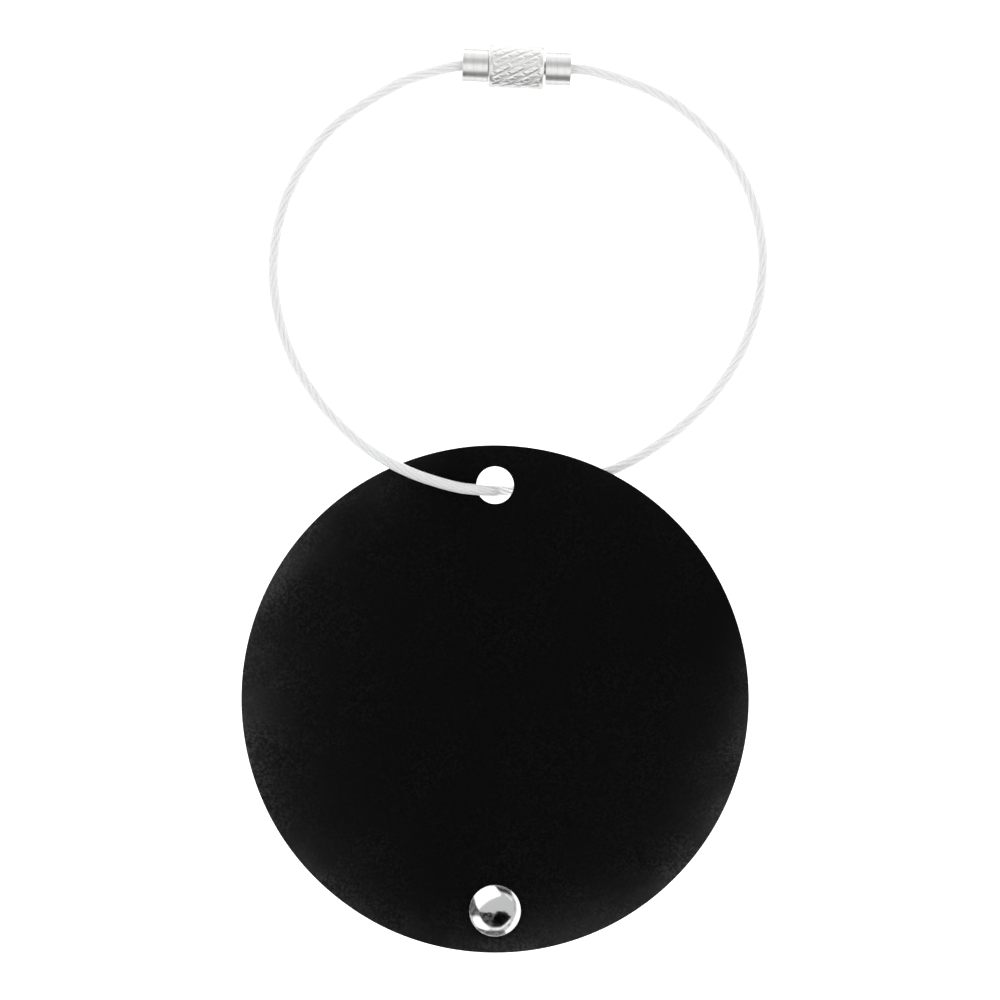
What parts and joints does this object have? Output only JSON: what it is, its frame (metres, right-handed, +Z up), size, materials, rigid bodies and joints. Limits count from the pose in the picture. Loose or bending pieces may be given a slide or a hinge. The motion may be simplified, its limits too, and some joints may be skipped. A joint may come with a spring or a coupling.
{
  "type": "luggage tag",
  "caption": "Round leather luggage tag whose cover turns on a rivet over an address card, hung on a wire-rope loop with a knurled screw closure.",
  "frame": {"origin": "on the surface that the tag rests on, under the middle of the two leather discs; the cable loop and its closure aren't counted in that middle", "axes": "+Z up, out of the front cover; +Y from the rivet towards the cable hole, along the disc; +X to the right as the front cover is seen"},
  "size_m": [0.0727, 0.1253, 0.0068],
  "materials": {
    "leather": "black, fine grain, semi-matt with a soft sheen",
    "card": "uncoated off-white card stock",
    "chrome": "mirror polished",
    "rivet_steel": "plain drawn steel",
    "turned_steel": "bright turned, with fine turning lines",
    "knurled_steel": "bright, diamond knurled",
    "coated_rope": "bright wire rope under a clear gloss coating"
  },
  "bodies": {
    "tag": {"back_panel": "leather", "address_card": "card", "rivet_cap": "chrome", "rivet_back_cap": "chrome", "rivet_socket": "rivet_steel", "rivet_post": "rivet_steel"},
    "cover": {"front_cover": "leather"},
    "loop": {"cable_eye": "coated_rope", "cable_back_half": "coated_rope", "socket_ferrule": "turned_steel", "swivel_pin": "rivet_steel"},
    "free_end": {"cable_front_half": "coated_rope", "stud_ferrule": "turned_steel"},
    "barrel": {"knurled_barrel": "knurled_steel"}
  },
  "joints": [
    {"name": "cover_swivel", "type": "hinge", "parent": "tag", "child": "cover", "pos_m": [0, -0.02915, 0.00405], "axis": [0, 0, 1], "continuous": true, "deforming": ["cable_eye"]},
    {"name": "loop_swing", "type": "hinge", "parent": "tag", "child": "loop", "pos_m": [0, 0.0295, 0.00337], "axis": [0, 1, 0], "range_deg": [0, 90]},
    {"name": "barrel_turn", "type": "hinge", "parent": "loop", "child": "barrel", "pos_m": [0.0032, 0.0872, 0.00296], "axis": [0.999, -0.0436, 0], "range_deg": [0, 2880]},
    {"name": "stud_withdraw", "type": "hinge", "parent": "loop", "child": "free_end", "pos_m": [0, 0.0295, 0.00337], "axis": [0, 0, 1], "range_deg": [0, 3.97]}
  ],
  "couplings": [
    {"joint": "stud_withdraw", "follows": "barrel_turn", "ratio": 0.0013771}
  ]
}
